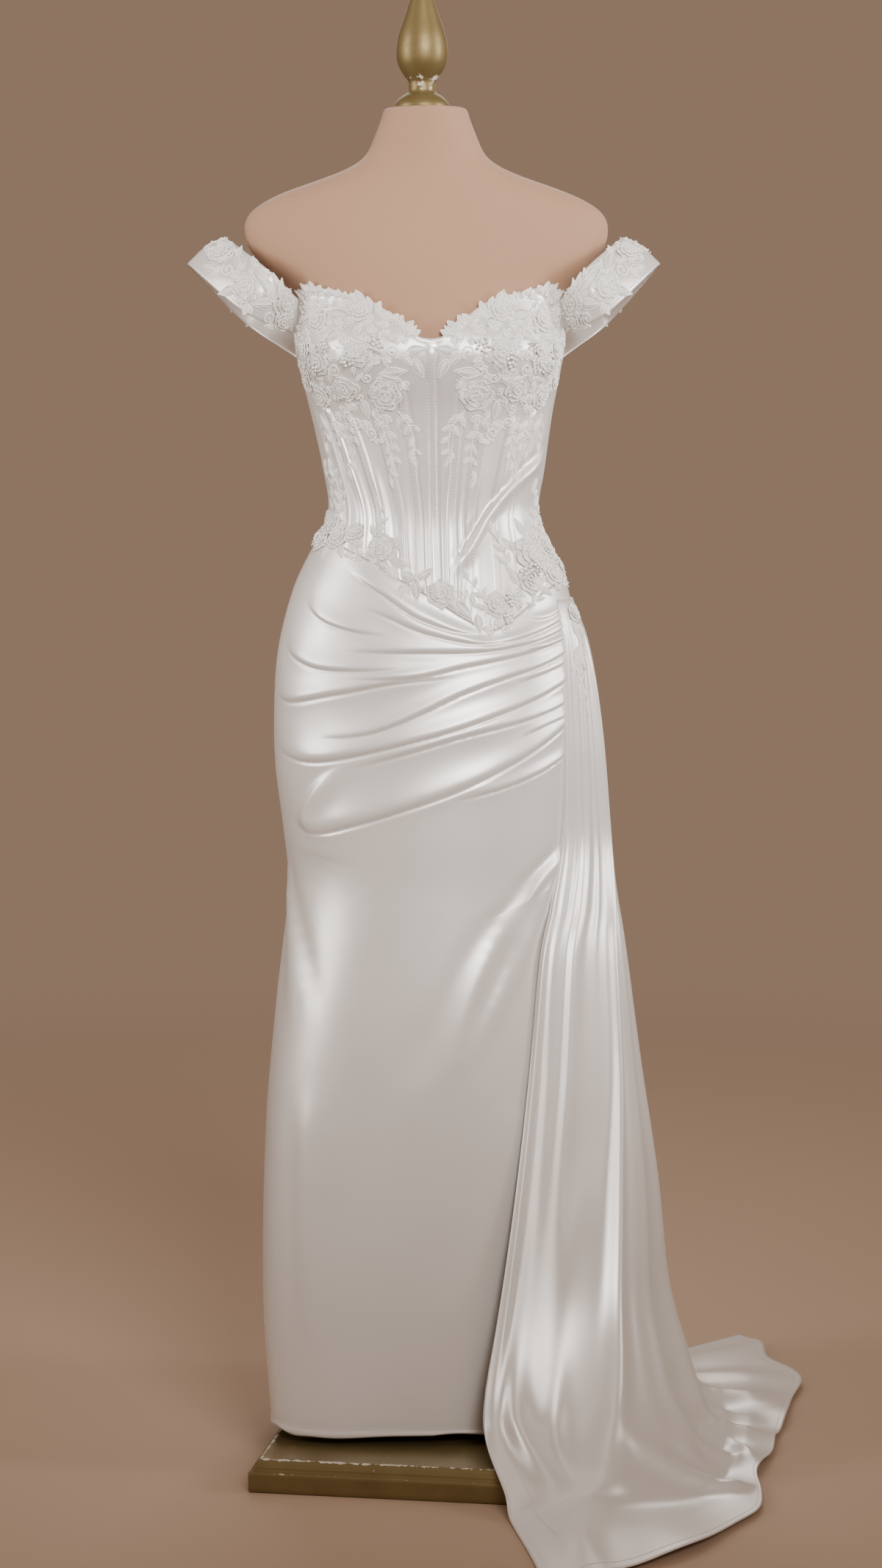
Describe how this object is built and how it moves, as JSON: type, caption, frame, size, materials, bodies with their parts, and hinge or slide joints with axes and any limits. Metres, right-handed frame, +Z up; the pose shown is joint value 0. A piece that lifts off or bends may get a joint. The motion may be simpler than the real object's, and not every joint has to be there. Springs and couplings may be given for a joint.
{
  "type": "off-shoulder wedding dress on a limbless dress form and stand",
  "caption": "Satin wedding dress with a boned corset bodice, lace applique, off-shoulder sleeves, gathered skirt and side drape with a train, on a limbless dress form on a moulded plinth.",
  "frame": {"origin": "middle of the plinth's flat underside, on the floor", "axes": "+Z up from the floor to the finial, -Y to the front of the dress, +X to the wearer's left"},
  "size_m": [0.699, 0.9622, 1.642],
  "materials": {
    "satin": "heavy ivory satin with a soft sheen",
    "lace": "corded floral applique with beads and sequins",
    "jersey": "matt skin-tone stretch cover",
    "gilt": "turned and moulded wood in worn antique-gold paint"
  },
  "bodies": {
    "root": {"form_torso": "jersey", "finial": "gilt", "stand_pole": "gilt", "plinth": "gilt", "bodice_back_right": "satin", "bodice_side_right": "satin", "bodice_side_front_right": "satin", "bodice_front_right": "satin", "bodice_front_left": "satin", "bodice_side_front_left": "satin", "bodice_side_left": "satin", "bodice_back_left": "satin", "cup_right": "satin", "cup_left": "satin", "bone_right_4": "satin", "bone_right_3": "satin", "bone_right_2": "satin", "bone_right_1": "satin", "bone_centre": "satin", "bone_left_1": "satin", "bone_left_2": "satin", "bone_left_3": "satin", "bone_left_4": "satin", "bodice_tuck": "satin", "skirt_back_right": "satin", "skirt_front": "satin", "skirt_back_left": "satin", "drape_train": "satin", "sleeve_right": "satin", "sleeve_left": "satin", "lace_cup_right": "lace", "lace_cup_left": "lace", "lace_waist_right": "lace", "lace_waist_left": "lace", "lace_sleeve_right": "lace", "lace_sleeve_left": "lace", "lace_tail": "lace"}
  },
  "joints": []
}
